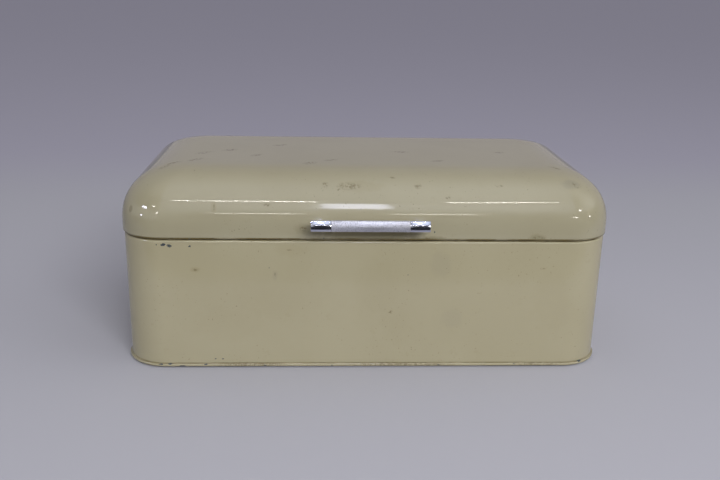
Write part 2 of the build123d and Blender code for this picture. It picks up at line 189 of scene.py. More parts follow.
# Soft box: a broad lamp in front, above the camera and a little to the right. It gives most of
# the light and the handle's shadow, and nothing mirrors it.
def face_lamp(name, aim, side, rise, distance, wide, tall, tint, brightness):
    """A flat lamp that faces its aim from so many degrees to the right and up."""
    lamp = bpy.data.lights.new(name, "AREA")
    lamp.shape = "RECTANGLE"
    lamp.size, lamp.size_y = wide, tall
    lamp.color = tint
    lamp.energy = brightness * pi * wide * tall
    holder = bpy.data.objects.new(name, lamp)
    holder.matrix_world = (
        Matrix.Translation(aim)
        @ Matrix.Rotation(radians(side), 4, "Z")
        @ Matrix.Rotation(pi / 2 - radians(rise), 4, "X")
        @ Matrix.Translation((0, 0, distance))
    )
    holder.visible_camera = False
    bpy.context.scene.collection.objects.link(holder)
    return holder


soft_box = face_lamp("soft_box", aim=(0, 0, 0.1), side=14, rise=30, distance=2.3,
                     wide=1.30, tall=0.60, tint=(1, 1, 1), brightness=15.0)
soft_box.visible_glossy = False


# Lamps: two broken rows of tubes, a pale panel between them and a few lamps farther out to both
# sides. They are only mirrored, as bright lines on the lid's edge and glints on its corners.
lamp_aim = (0, -0.1, 0.15)
tube_white, panel_white = (1.0, 0.95, 0.90), (0.86, 0.88, 1.08)
lamps = (
    # Name, degrees to the right and up, distance, width, height, tint, brightness
    ("tube_left", -11, 43.3, 2.99, 0.66, 0.030, tube_white, 52),
    ("tube_right", 20.8, 42.4, 3.04, 0.54, 0.030, tube_white, 52),
    ("far_tube_left", -6.2, 13.5, 8.79, 1.10, 0.085, tube_white, 26),
    ("far_tube_right", 9.0, 13.4, 8.85, 1.07, 0.085, tube_white, 26),
    ("panel", 2.5, 31.5, 3.97, 0.42, 0.90, panel_white, 9),
    ("glint_left", -58.6, 23.0, 6.1, 1.40, 0.50, panel_white, 26),
    ("glint_left_near", -33.8, 28.5, 6.1, 0.60, 0.30, tube_white, 20),
    ("glint_left_far", -20.0, 13.3, 6.1, 0.55, 0.20, tube_white, 24),
    ("glint_left_low", -60.6, 5.4, 6.1, 0.55, 0.22, panel_white, 26),
    ("glint_right", 38.8, 23.5, 6.1, 0.72, 0.36, tube_white, 24),
    ("glint_right_far", 24.0, 7.9, 6.1, 0.66, 0.22, tube_white, 24),
    ("glint_right_low", 61.0, 7.8, 6.1, 0.50, 0.25, tube_white, 22),
)
for name, *setting in lamps:
    lamp = face_lamp(name, lamp_aim, *setting)
    lamp.visible_diffuse = False


# Cream enamel, shared by every pressed sheet: a glossy stoved coat that is a little wavy, dulled
# in patches and peppered with brown specks. Each piece adds its own chips down to the blue-black
# iron, scuffs, smudges and lines of dirt; some of these lines and one smudge are partly painted shade.
mm = 0.001    # sizes from here on are in millimetres, and Blender's in metres
cream, stain, fleck = colour(166, 159, 133), colour(139, 129, 96), colour(98, 84, 52)
bare_iron, chip_rim, grime_and_shade_brown = colour(38, 48, 58), colour(96, 92, 74), colour(96, 82, 42)
scuff_grey, olive = colour(92, 96, 104), colour(92, 81, 26)
# The lid's tint makes its cream a little darker and bluer than the body's: partly its own tone, partly
# painted shade.
body_tint, lid_tone_and_shade = (1, 1, 1, 1), (0.905, 0.915, 0.945, 1)
cloud_scale, dull_scale, grime_scale, dirt_and_shade_scale = 11, 34, 95, 45
pepper_scale, pepper_patch_scale, wave_scale, peel_scale = 620, 26, 13, 480
cloud_share, grime_share, pepper_share, scuff_share = 0.13, 0.22, 0.55, 0.58
shiny, dulled, grime_dulling, scuff_dulling, chip_dulling = 0.045, 0.085, 0.10, 0.06, 0.45
wave_height, peel_height, chip_depth = 0.20 * mm, 0.0042 * mm, 0.12 * mm
lying_normal, tilted_normal, dirt_and_shade_core = 0.995, 0.93, 0.2
chip_reach_in, enamel_ior = 1.5, 1.52


def shader_group(name, inputs, outputs):
    """An empty node group with its sockets; both ends are handed back with it."""
    group = bpy.data.node_groups.new(name, "ShaderNodeTree")
    for side, sockets in (("INPUT", inputs), ("OUTPUT", outputs)):
        for label, kind in sockets.items():
            group.interface.new_socket(label, in_out=side, socket_type="NodeSocket" + kind)
    ends = group.nodes.new("NodeGroupInput"), group.nodes.new("NodeGroupOutput")
    return group, ends[0].outputs, ends[1].inputs


def noise_at(tree, place, scale, detail=3.0, roughness=0.5):
    """Cloudy values from 0 to 1 at a scale of so many to the metre."""
    return add_node(tree, "ShaderNodeTexNoise", {
        "Vector": place, "Scale": scale, "Detail": detail, "Roughness": roughness,
    }).outputs["Fac"]


glaze, taken, given = shader_group(
    "glaze", {"Place": "Vector"}, {"Colour": "Color", "Roughness": "Float", "Height": "Float"}
)
place = taken["Place"]
cloud = step_up(glaze, noise_at(glaze, place, cloud_scale, 4), 0.35, 0.65, 0.0, cloud_share)
grime = step_up(glaze, noise_at(glaze, place, grime_scale, 5, 0.7), 0.60, 0.78)
pepper = step_up(glaze, noise_at(glaze, place, pepper_scale, 2), 0.685, 0.74)
peppered = step_up(glaze, noise_at(glaze, place, pepper_patch_scale, 2), 0.40, 0.62)
pepper = calculate(glaze, "MULTIPLY", pepper, peppered)
shade = blend_colour(glaze, cloud, cream, stain)
shade = blend_colour(glaze, calculate(glaze, "MULTIPLY", grime, grime_share), shade, stain)
shade = blend_colour(glaze, calculate(glaze, "MULTIPLY", pepper, pepper_share), shade, fleck)
glaze.links.new(shade, given["Colour"])
dull = noise_at(glaze, place, dull_scale, 6, 0.62)
rough = step_up(glaze, dull, 0.35, 0.75, shiny, dulled)
glaze.links.new(calculate(glaze, "MULTIPLY_ADD", grime, grime_dulling, rough), given["Roughness"])
wave = calculate(glaze, "MULTIPLY", noise_at(glaze, place, wave_scale, 1), wave_height)
peel = calculate(glaze, "MULTIPLY_ADD", noise_at(glaze, place, peel_scale, 2), peel_height, wave)
glaze.links.new(peel, given["Height"])


def vector_step(tree, operation, first, second):
    """One Vector Math node that hands a vector back."""
    return add_node(tree, "ShaderNodeVectorMath", {0: first, 1: second},
                    operation=operation).outputs["Vector"]


def shares_of_reach(tree, offset, reach):
    """How far an offset goes, as a share of the reach along each axis."""
    shares = vector_step(tree, "DIVIDE", offset, reach)
    return add_node(tree, "ShaderNodeVectorMath", {0: shares}, operation="LENGTH").outputs["Value"]


def blot_group(name, scale, detail, roughness, raggedness, outer, inner):
    """A node group for a round mark with a ragged edge between two shares of its reach."""
    group, taken, given = shader_group(
        name, {"Place": "Vector", "Centre": "Vector", "Reach": "Vector"}, {"Mask": "Float"}
    )
    offset = vector_step(group, "SUBTRACT", taken["Place"], taken["Centre"])
    away = shares_of_reach(group, offset, taken["Reach"])
    ragged = calculate(group, "SUBTRACT", noise_at(group, taken["Place"], scale, detail, roughness), 0.5)
    away = calculate(group, "MULTIPLY_ADD", ragged, raggedness, away)
    group.links.new(step_up(group, away, outer, inner), given["Mask"])
    return group


chip = blot_group("chip", scale=900, detail=3, roughness=0.5, raggedness=2.2, outer=1.10, inner=0.90)
smudge_and_shade = blot_group("smudge_and_shade", scale=160, detail=4, roughness=0.6, raggedness=0.9, outer=1.0, inner=0.45)

scuff, taken, given = shader_group(
    "scuff", {"Place": "Vector", "Centre": "Vector", "Turn": "Float", "Reach": "Vector"}, {"Mask": "Float"}
)
offset = vector_step(scuff, "SUBTRACT", taken["Place"], taken["Centre"])
offset = add_node(scuff, "ShaderNodeVectorRotate", {"Vector": offset, "Angle": taken["Turn"]},
                  rotation_type="Z_AXIS").outputs["Vector"]
faded = step_up(scuff, shares_of_reach(scuff, offset, taken["Reach"]), 1.0, 0.3)
torn = noise_at(scuff, taken["Place"], scale=420, detail=5, roughness=0.75)
torn = step_up(scuff, torn, 0.45, 0.55)
scuff.links.new(calculate(scuff, "MULTIPLY", faded, torn), given["Mask"])


def mark_mask(tree, group, place, centre, reach, **others):
    """The mask of one mark, whose centre and reach are given in mm."""
    sizes = {"Centre": Vector(centre) * mm, "Reach": Vector(reach) * mm}
    return add_node(tree, "ShaderNodeGroup", {"Place": place, **sizes, **others},
                    node_tree=group).outputs["Mask"]


def strongest(tree, masks):
    """The highest of several masks, or nothing where there are none."""
    result = masks[0] if masks else 0.0
    for mask in masks[1:]:
        result = calculate(tree, "MAXIMUM", result, mask)
    return result


def relief(tree, surface, height):
    """Fine relief, its height in metres, that only the shading shows."""
    bump = add_node(tree, "ShaderNodeBump", {"Height": height, "Strength": 1.0, "Distance": 1.0})
    tree.links.new(bump.outputs["Normal"], surface.inputs["Normal"])


def enamel(name, tint, chips=(), scuffs=(), smudges_and_shade=(), dirt_and_shade_lines=()):
    """Cream enamel with this piece's own tint and its marks, placed and sized in mm.

    Lines of dirt, and of painted shade, run round the piece between two heights, but not over faces that lie
    flat.
    """
    made, tree, surface = new_material(name)
    texture = add_node(tree, "ShaderNodeTexCoord").outputs
    place = texture["Object"]
    coat = add_node(tree, "ShaderNodeGroup", {"Place": place}, node_tree=glaze).outputs
    shade = blend_colour(tree, 1.0, coat["Colour"], tint, "MULTIPLY")
    # Smudges blend towards their own tone; the lid's olive patch under the handle is partly painted shadow.
    for x, y, z, wide, deep, tall, tone, share in smudges_and_shade:
        mask = mark_mask(tree, smudge_and_shade, place, (x, y, z), (wide, deep, tall))
        shade = blend_colour(tree, calculate(tree, "MULTIPLY", mask, share), shade, tone)

    lying = calculate(tree, "ABSOLUTE", part_of(tree, texture["Normal"], "Z"))
    tilted = step_up(tree, lying, lying_normal, tilted_normal)
    patchy = step_up(tree, noise_at(tree, place, dirt_and_shade_scale, 4, 0.6), 0.30, 0.60, 0.45, 1.0)
    patchy = calculate(tree, "MULTIPLY", patchy, tilted)
    level = part_of(tree, place, "Z")
    # Each line blends towards a grime brown; along the seam and under the bead this is partly painted shade.
    for bottom, top, strength in dirt_and_shade_lines:
        middle, half = (bottom + top) / 2 * mm, (top - bottom) / 2 * mm
        off = calculate(tree, "ABSOLUTE", calculate(tree, "SUBTRACT", level, middle))
        line = step_up(tree, off, half, half * dirt_and_shade_core, 0.0, strength)
        shade = blend_colour(tree, calculate(tree, "MULTIPLY", line, patchy), shade, grime_and_shade_brown)

    rubbed = strongest(tree, [
        mark_mask(tree, scuff, place, (x, y, z), (length, width, width), Turn=radians(turn))
        for x, y, z, turn, length, width in scuffs
    ])
    shade = blend_colour(tree, calculate(tree, "MULTIPLY", rubbed, scuff_share), shade, fleck)
    rough = calculate(tree, "MULTIPLY_ADD", rubbed, scuff_dulling, coat["Roughness"])

    broken = strongest(tree, [
        mark_mask(tree, chip, place, (x, y, z), (wide, chip_reach_in * wide, tall))
        for x, y, z, wide, tall in chips
    ])
    shade = blend_colour(tree, step_up(tree, broken, 0.05, 0.45), shade, chip_rim)
    shade = blend_colour(tree, step_up(tree, broken, 0.35, 0.80), shade, bare_iron)
    rough = calculate(tree, "MULTIPLY_ADD", broken, chip_dulling, rough)
    height = calculate(tree, "MULTIPLY_ADD", broken, -chip_depth, coat["Height"])
    tree.links.new(shade, surface.inputs["Base Color"])
    tree.links.new(rough, surface.inputs["Roughness"])
    relief(tree, surface, height)
    surface.inputs["IOR"].default_value = enamel_ior
    return made


# Body wall: one band of sheet steel with rounded corners, bent in under the lid to a flange
# and turned down to a lip. It is notched for the hinges and drilled with two vent rosettes.
sheet = 0.8
hair, touch = 0.01 * mm, 0.001 * mm    # points this near count as being at one place
wall_low, wall_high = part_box("body_wall")
plan_centre = (wall_low.y + wall_high.y) / 2
half_width, half_depth, corner_radius = 210.0, 110.0, 36.0
seam_height = 116.4
wall_foot, flange, lip = 2.2, 10.0, 5.0
shoulder_bend, lip_bend = 2.5, 1.6
corner_steps, bend_steps, smooth_angle = 24, 5, 35
hinge_place, leaf_half, notch_play = 110.0, 25.0, 0.5
notch_depth, wall_notch_floor, rear_strip, past_edge = 2.4, 114.15, 12.0, 1.0
vent_place, vent_height, vent_pitch, vent_radius, vent_ring = 125.0, 70.0, 11.0, 2.5, 6
drill_length, drill_sides = 4.0, 32


def begin(name):
    """A new piece, held in edit mode as a single point at the middle of the plan."""
    bpy.ops.object.select_all(action="DESELECT")
    bpy.ops.mesh.primitive_plane_add(size=mm)
    piece = bpy.context.object
    piece.name = piece.data.name = name
    bpy.ops.object.mode_set(mode="EDIT")
    bpy.ops.mesh.select_mode(type="VERT")
    bpy.ops.mesh.select_all(action="SELECT")
    bpy.ops.mesh.merge(type="CENTER")
    return piece


def choose(piece, mode, test):
    """Select only the points, edges or faces that pass the test."""
    bpy.ops.mesh.select_mode(type=mode)
    bpy.ops.mesh.select_all(action="DESELECT")
    shape = bmesh.from_edit_mesh(piece.data)
    for part in {"VERT": shape.verts, "EDGE": shape.edges, "FACE": shape.faces}[mode]:
        if test(part):
            part.select_set(True)
    shape.select_flush_mode()
    bmesh.update_edit_mesh(piece.data)


def near(point, place):
    """Whether a mesh point is at a place given in millimetres."""
    return (point.co - Vector(place) * mm).length < hair


def draw_wire(points):
    """Lead the single point through places in millimetres, as a wire."""
    bpy.ops.transform.translate(value=Vector(points[0]) * mm)
    for start, end in zip(points, points[1:]):
        step = (Vector(end) - Vector(start)) * mm
        bpy.ops.mesh.extrude_vertices_move(TRANSFORM_OT_translate={"value": step})


def round_bend(piece, place, radius, steps=bend_steps):
    """Round the wire's square bend at a place in millimetres."""
    choose(piece, "VERT", lambda v: near(v, place))
    bpy.ops.mesh.bevel(offset=radius * mm, segments=steps, affect="VERTICES")


def front_wire(piece, section, bends):
    """Wire of a section at the middle of the front: (outward, height) from the body wall."""
    def at(outward, height):
        return 0, -half_depth - outward, height
    draw_wire([at(*point) for point in section])
    for index, radius in bends:
        round_bend(piece, at(*section[index]), radius)


def run_round_quarter(corner):
    """Run the wire to the corner, round it and on to the middle of the end."""
    bpy.ops.mesh.select_all(action="SELECT")
    bpy.ops.mesh.extrude_region_move(
        TRANSFORM_OT_translate={"value": ((half_width - corner) * mm, 0, 0)})
    centre = ((half_width - corner) * mm, (corner - half_depth) * mm, 0)
    bpy.ops.mesh.spin(steps=corner_steps, angle=-pi / 2, center=centre, axis=(0, 0, 1))
    bpy.ops.mesh.extrude_region_move(
        TRANSFORM_OT_translate={"value": (0, (half_depth - corner) * mm, 0)})


def apply_modifier(piece, kind, **settings):
    """Add one modifier and apply it."""
    modifier = piece.modifiers.new(kind.lower(), kind)
    for name, value in settings.items():
        setattr(modifier, name, value)
    bpy.context.view_layer.objects.active = piece
    bpy.ops.object.modifier_apply(modifier=modifier.name)


def face_outwards():
    """Turn every face of the piece in edit mode outwards."""
    bpy.ops.mesh.select_all(action="SELECT")
    bpy.ops.mesh.normals_make_consistent(inside=False)


def mirror_quarter(piece):
    """Four quarters from one, merged, with every face turned outwards."""
    bpy.ops.object.mode_set(mode="OBJECT")
    apply_modifier(piece, "MIRROR", use_axis=(True, True, False), merge_threshold=2 * hair)
    bpy.ops.object.mode_set(mode="EDIT")
    bpy.ops.mesh.select_all(action="SELECT")
    bpy.ops.mesh.remove_doubles(threshold=hair)
    face_outwards()


def cut_notches(piece, low, high):
    """Clear both hinge notches out of the rear of an open sheet, between two heights."""
    deepest = half_depth - notch_depth
    for hinge in (-hinge_place, hinge_place):
        def at_rear(face):
            return face.calc_center_median().y > (half_depth - rear_strip) * mm

        def beside(face):
            return at_rear(face) and abs(face.calc_center_median().x - hinge * mm) < leaf_half * mm

        def in_notch(face):
            centre = face.calc_center_median() / mm
            return beside(face) and low < centre.z < high and centre.y > deepest

        for edge in (-1, 1):
            x = hinge + edge * (leaf_half + notch_play)
            choose(piece, "FACE", at_rear)
            bpy.ops.mesh.bisect(plane_co=(x * mm, 0, 0), plane_no=(1, 0, 0))
        for height in (low, high):
            choose(piece, "FACE", beside)
            bpy.ops.mesh.bisect(plane_co=(0, 0, height * mm), plane_no=(0, 0, 1))
        choose(piece, "FACE", beside)
        bpy.ops.mesh.bisect(plane_co=(0, deepest * mm, 0), plane_no=(0, 1, 0))
        choose(piece, "FACE", in_notch)
        bpy.ops.mesh.delete(type="FACE")


def thicken(piece, offset=-1.0):
    """Give the open sheet its thickness."""
    bpy.ops.object.mode_set(mode="OBJECT")
    apply_modifier(piece, "SOLIDIFY", thickness=sheet * mm, offset=offset, use_even_offset=True)


def take_up(piece):
    """Make the piece the active one and the only one selected."""
    bpy.ops.object.select_all(action="DESELECT")
    piece.select_set(True)
    bpy.context.view_layer.objects.active = piece


def settle(piece, material, body, slot, *nodes, matrix=Matrix(), crease=smooth_angle):
    """Put the finished piece in its place, with its finish, its body and the CAD nodes it replaces."""
    if bpy.context.object and bpy.context.object.mode == "EDIT":
        bpy.ops.object.mode_set(mode="OBJECT")
    take_up(piece)
    piece.matrix_world = Matrix.Translation((0, plan_centre, 0)) @ matrix
    bpy.ops.object.transform_apply(location=True, rotation=True, scale=True)
    bpy.ops.object.shade_smooth_by_angle(angle=radians(crease))
    piece.data.materials.clear()
    piece.data.materials.append(material)
    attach(piece, body)
    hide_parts(*nodes)


wall = begin("wall")
front_wire(wall, [
    (0, wall_foot), (0, seam_height), (-flange, seam_height), (-flange, seam_height - lip),
], [(1, shoulder_bend), (2, lip_bend)])
run_round_quarter(corner_radius)
mirror_quarter(wall)
cut_notches(wall, wall_notch_floor, seam_height + past_edge)
thicken(wall)

bpy.ops.object.select_all(action="DESELECT")
bpy.ops.mesh.primitive_cylinder_add(vertices=drill_sides, radius=vent_radius * mm, depth=drill_length * mm)
drill = bpy.context.object
bpy.ops.object.mode_set(mode="EDIT")
bpy.ops.transform.rotate(value=pi / 2, orient_axis="X", center_override=(0, 0, 0))
bpy.ops.transform.translate(value=(0, half_depth * mm, vent_height * mm))
bpy.ops.mesh.select_all(action="SELECT")
turns = [2 * pi * step / vent_ring for step in range(vent_ring)]
spots = [(0, 0)] + [(vent_pitch * cos(turn), vent_pitch * sin(turn)) for turn in turns]
spots = [(side * vent_place + x, z) for side in (-1, 1) for x, z in spots]
bpy.ops.transform.translate(value=(spots[0][0] * mm, 0, spots[0][1] * mm))
for (x, z), (next_x, next_z) in zip(spots, spots[1:]):
    step = ((next_x - x) * mm, 0, (next_z - z) * mm)
    bpy.ops.mesh.duplicate_move(TRANSFORM_OT_translate={"value": step})
bpy.ops.object.mode_set(mode="OBJECT")
apply_modifier(wall, "BOOLEAN", object=drill, operation="DIFFERENCE", solver="EXACT")
bpy.data.objects.remove(drill)

front = -half_depth + plan_centre / mm
wall_enamel = enamel(
    "enamel_wall", body_tint,
    chips=[
        (-171.6, front, 112.0, 2.0, 1.1), (-166.5, front, 111.1, 2.0, 1.2),
        (-177.2, front, 112.1, 0.35, 0.6), (-149.7, front, 110.8, 1.0, 0.8),
        (-125.2, front, 7.8, 1.1, 0.5), (-131.5, front, 7.9, 0.8, 0.4),
        (34, front, 86, 0.4, 0.4), (-84, front, 92, 0.35, 0.35),
    ],
    scuffs=[
        (-146, front, 90, 0, 2.6, 1.6), (-79, front, 86, 0, 0.8, 2.6),
        (-66, front, 108, 0, 4, 1.0), (150, front, 92, 0, 3, 1),
        (96, front, 70, 0, 3, 1.5), (20, front, 52, 0, 3, 2),
    ],
    smudges_and_shade=[
        (-146, front, 90, 5, 3, 3, stain, 0.35), (-66, front, 108, 18, 4, 8, stain, 0.12),
        (-79, front, 85, 3, 4, 6, scuff_grey, 0.12), (62, front, 96, 12, 4, 14, scuff_grey, 0.07),
        (74, front, 46, 12, 4, 12, scuff_grey, 0.06), (-120, front, 40, 40, 4, 20, stain, 0.07),
        (8, front, 76, 24, 4, 34, stain, 0.06), (160, front, 62, 22, 4, 38, stain, 0.07),
        (-70, front, 66, 50, 4, 26, stain, 0.06), (24, front, 40, 16, 4, 22, stain, 0.06),
    ],
    # the second line, on the shoulder under the lid's edge, is grime and painted shade in the seam
    dirt_and_shade_lines=[(3.0, 4.7, 0.80), (115.3, 118.0, 1.0)],
)
settle(wall, wall_enamel, "base", "cream_enamel", "body_wall")


# Base pan: a shallow pressed tray whose rim folds down, out and up round the foot of the
# wall, which makes the bead. The middle of the tray is raised for stiffness.
bead_proud, bead_play, bead_foot, bead_top, pan_height = 1.2, 0.15, 1.4, 3.6, 4.9
chuck, pan_border, bead_bend, chuck_bend = -1.4, 7.8, 0.75, 1.3
field_margin, field_rise, field_corner = 34.0, 1.2, 18.0


def next_level(piece, old, new):
    """Draw a quarter's selected open edge on to its next (outset, height, corner)."""
    (old_out, old_height, old_corner), (out, height, corner) = old, new
    bpy.ops.mesh.extrude_region_move(
        TRANSFORM_OT_translate={"value": (0, 0, (height - old_height) * mm)})
    shape = bmesh.from_edit_mesh(piece.data)
    shape.verts.index_update()
    fresh = {v.index for v in shape.verts if v.select}
    across, along = half_width + old_out - old_corner, half_depth + old_out - old_corner

    def in_corner(v):
        return v.index in fresh and v.co.x > across * mm - hair and v.co.y < hair - along * mm

    choose(piece, "VERT", in_corner)
    ratio, slip = corner / old_corner, (out - old_out) - (corner - old_corner)
    bpy.ops.transform.resize(value=(ratio, ratio, 1), center_override=(across * mm, -along * mm, 0))
    bpy.ops.transform.translate(value=(slip * mm, -slip * mm, 0))
    choose(piece, "VERT", lambda v: v.index in fresh and abs(v.co.x) < hair)
    bpy.ops.transform.translate(value=(0, (old_out - out) * mm, 0))
    choose(piece, "VERT", lambda v: v.index in fresh and abs(v.co.y) < hair)
    bpy.ops.transform.translate(value=((out - old_out) * mm, 0, 0))
    choose(piece, "VERT", lambda v: v.index in fresh)


def choose_open_edge(piece, height):
    """Select a quarter's open edge at a height, without its two cut ends."""
    def on_edge(edge):
        level = all(abs(v.co.z - height * mm) < hair for v in edge.verts)
        at_cut = any(all(abs(v.co[axis]) < hair for v in edge.verts) for axis in (0, 1))
        return edge.is_boundary and level and not at_cut

    choose(piece, "EDGE", on_edge)
    bpy.ops.mesh.select_mode(type="VERT")


def close_flat(piece, height):
    """Fill the flat opening left at a height, with every face turned outwards."""
    choose(piece, "VERT", lambda v: abs(v.co.z - height * mm) < hair)
    bpy.ops.mesh.edge_face_add()
    face_outwards()


pan = begin("pan")
front_wire(pan, [
    (bead_play, bead_top), (bead_proud, bead_top), (bead_proud, bead_foot), (chuck, bead_foot),
    (chuck, pan_height), (-pan_border, pan_height),
], [(1, bead_bend), (2, bead_bend), (3, bead_bend), (4, chuck_bend)])
run_round_quarter(corner_radius)
border = (-pan_border, pan_height, corner_radius - pan_border)
field_foot = (-field_margin, pan_height, field_corner)
field_top = (-field_margin - field_rise, pan_height + field_rise, field_corner - field_rise)
choose_open_edge(pan, pan_height)
next_level(pan, border, field_foot)
next_level(pan, field_foot, field_top)
mirror_quarter(pan)
close_flat(pan, field_top[1])
thicken(pan, offset=0.0)

bead = front - bead_proud - sheet / 2
pan_enamel = enamel(
    "enamel_pan", body_tint,
    chips=[
        (-178.5, bead, 3.3, 1.6, 0.6), (-170.4, bead, 3.7, 1.9, 0.7), (-139.8, bead, 3.2, 1.5, 0.6),
        (-88.6, bead, 2.4, 1.1, 0.5), (190.8, bead + 4, 4.0, 2.0, 0.9), (-30, bead, 2.2, 0.7, 0.4),
        (64, bead, 2.2, 0.9, 0.4), (131, bead, 3.3, 0.8, 0.4), (-160, bead, 1.8, 3.0, 0.5),
    ],
    scuffs=[(-100, bead, 3, 0, 40, 3), (30, bead, 3, 0, 60, 3), (150, bead, 3, 0, 30, 3)],
    # the second line, along the bead's underside, is dirt and a painted contact shadow
    dirt_and_shade_lines=[(3.4, 4.4, 0.80), (0.6, 1.9, 0.95)],
)
settle(pan, pan_enamel, "base", "cream_enamel", "base_pan")


# Lid: a deep-drawn shell. A straight band stands above the seam, its edge closes in to the flat
# top along a curve a little fuller than a quarter of an ellipse, and the rim is turned in under
# the band.
lid_rim, lid_overhang, lid_band, lid_gap, lid_bend = 8.0, 1.3, 7.1, 1.0, 1.0
edge_width, edge_height, top_corner = 54.5, 46.5, 14.5
edge_steps, edge_fullness = 26, 0.84
lid_bottom = seam_height + lid_gap
edge_start = lid_bottom + lid_band
lid_corner = corner_radius + lid_overhang
lid_notch_top = 119.65


def edge_level(angle, power=1.0):
    """Outset, height and plan corner of the lid's skin at an angle along its edge.

    A power of 1 is the plain ellipse on which the handle and the rivets stand.
    """
    closing = 1 - max(0.0, cos(angle)) ** power
    return (lid_overhang - edge_width * closing, edge_start + edge_height * sin(angle) ** power,
            lid_corner * (1 - closing) + top_corner * closing)


lid = begin("lid")
front_wire(lid, [
    (lid_overhang - lid_rim, lid_bottom), (lid_overhang, lid_bottom), (lid_overhang, edge_start),
], [(1, lid_bend)])
run_round_quarter(corner_radius)
choose_open_edge(lid, edge_start)
levels = [edge_level(pi / 2 * step / edge_steps, edge_fullness) for step in range(edge_steps + 1)]
for old, new in zip(levels, levels[1:]):
    next_level(lid, old, new)
mirror_quarter(lid)
lid_top = levels[-1][1]
close_flat(lid, lid_top)
cut_notches(lid, lid_bottom - past_edge, lid_notch_top)
thicken(lid)

lid_front = front - lid_overhang
lid_enamel = enamel(
    "enamel_lid", lid_tone_and_shade,
    chips=[
        (54.8, lid_front, 124.9, 0.45, 1.1), (-38, lid_front, 119.0, 0.45, 0.4),
        (-149.5, lid_front, 117.7, 1.2, 0.5),
    ],
    scuffs=[
        (-170, -52, lid_top, -38, 13, 4), (-151, -40, lid_top, -50, 12, 5),
        (-147, -10, lid_top, -40, 12, 5), (-99, -19, lid_top, -45, 9, 5),
        (-50, -50, lid_top, -35, 9, 6), (-175, -60, 169, -38, 9, 4),
        (64, -37, lid_top, -20, 8, 4), (128, 3, lid_top, 0, 7, 5), (166, -58, lid_top, 35, 9, 4),
        (-37, -88, 161, 0, 4, 4), (-25.5, -92, 157.5, 0, 2, 2),
        (-17, -89, 160, 0, 13, 5), (41, -88.7, 160.5, 0, 4, 4),
        (-125, 3, lid_top, -30, 10, 6), (-80, 28, lid_top, -20, 10, 5), (34, 1, lid_top, 0, 11, 5),
        (-32, -37, lid_top, -30, 9, 5), (176, -84, 161, 60, 9, 3), (-55, lid_front, 127, -40, 6, 3),
        (50, lid_front, 119, 0, 9, 1.5), (143, lid_front, 120, 0, 6, 2),
        (-128.6, -100.9, 144.5, 0, 1, 4), (-85, -100, 146.3, 0, 4, 2), (66, -96.6, 152.4, 0, 3, 2),
        (-19, -99.2, 148.2, 0, 2, 2), (110, -88, 161, 0, 5, 2), (20, -80, 165, 0, 4, 2),
    ],
    smudges_and_shade=[
        # the first smudge, an olive patch under the handle, is dirt and a painted shadow of the handle
        (1, lid_front, 122, 56, 9, 9, olive, 0.46), (-55, lid_front, 127, 9, 6, 6, olive, 0.14),
        (173, -85, 162, 11, 8, 6, scuff_grey, 0.16), (-198.7, -91.8, 140, 3, 3, 4.0, fleck, 0.42),
        (-8, -89, 160, 24, 8, 8, stain, 0.22), (53, lid_front, 118.5, 14, 4, 4, olive, 0.35),
        (143, lid_front, 119.5, 9, 4, 5, olive, 0.30), (-129, -101, 145, 3, 4, 8, stain, 0.28),
    ],
    # this line, along the lid's lower edge, is grime and painted shade in the seam
    dirt_and_shade_lines=[(116.4, 119.5, 1.0)],
)
settle(lid, lid_enamel, "lid", "cream_enamel", "lid_shell")


# Handle: a flat-backed bar with a gently rounded front. Its middle is satin metal, and each
# bright cast end carries a post that stands on the lid.
handle_rise, handle_gap = 14.2, 16.0
grip_half, end_length, joint_play = 32.0, 16.75, 0.05
bar_height, bar_depth, bar_crown = 9.0, 6.0, 0.9
bar_edge, bar_back_edge, end_edge, joint_edge = 0.45, 1.2, 0.4, 0.12
post_place, post_width, post_top, post_foot, post_edge, post_play = 43.0, 8.0, 7.4, 5.2, 1.4, 0.05
crown_steps = 12
speck_grey, smear_scale, speck_scale = colour(96, 96, 104), 130, 1500

handle_angle = asin((handle_rise - lid_band) / edge_height)
lean = atan2(edge_width * sin(handle_angle), edge_height * cos(handle_angle))
handle_out, handle_height, _ = edge_level(handle_angle)
on_lid = Matrix.Translation((0, -(half_depth + handle_out) * mm, handle_height * mm))
on_lid @= Matrix.Rotation(pi / 2 - lean, 4, "X")


def bar_wire(piece, x):
    """Outline of the bar in the plane x along it: second axis up the lid, third axis outwards."""
    half, front_edge = bar_height / 2, handle_gap + bar_depth - bar_crown
    radius = (half ** 2 + bar_crown ** 2) / (2 * bar_crown)
    span = asin(half / radius)
    turns = [span * (1 - 2 * step / crown_steps) for step in range(crown_steps + 1)]
    crown = [(x, radius * sin(t), front_edge + bar_crown - radius * (1 - cos(t))) for t in turns]
    draw_wire([*crown, (x, -half, handle_gap), (x, half, handle_gap)])
    bpy.ops.mesh.select_all(action="SELECT")
    bpy.ops.mesh.edge_face_add()
    for y, z, radius in ((-half, handle_gap, bar_back_edge), (half, handle_gap, bar_back_edge),
                         (-half, front_edge, bar_edge), (half, front_edge, bar_edge)):
        round_bend(piece, (x, y, z), radius, steps=4)
    bpy.ops.mesh.select_all(action="SELECT")


def ease_end(piece, x, radius, steps):
    """Round the rim of the bar's end at x."""
    choose(piece, "EDGE", lambda e: all(abs(v.co.x - x * mm) < touch for v in e.verts))
    bpy.ops.mesh.bevel(offset=radius * mm, segments=steps, affect="EDGES")


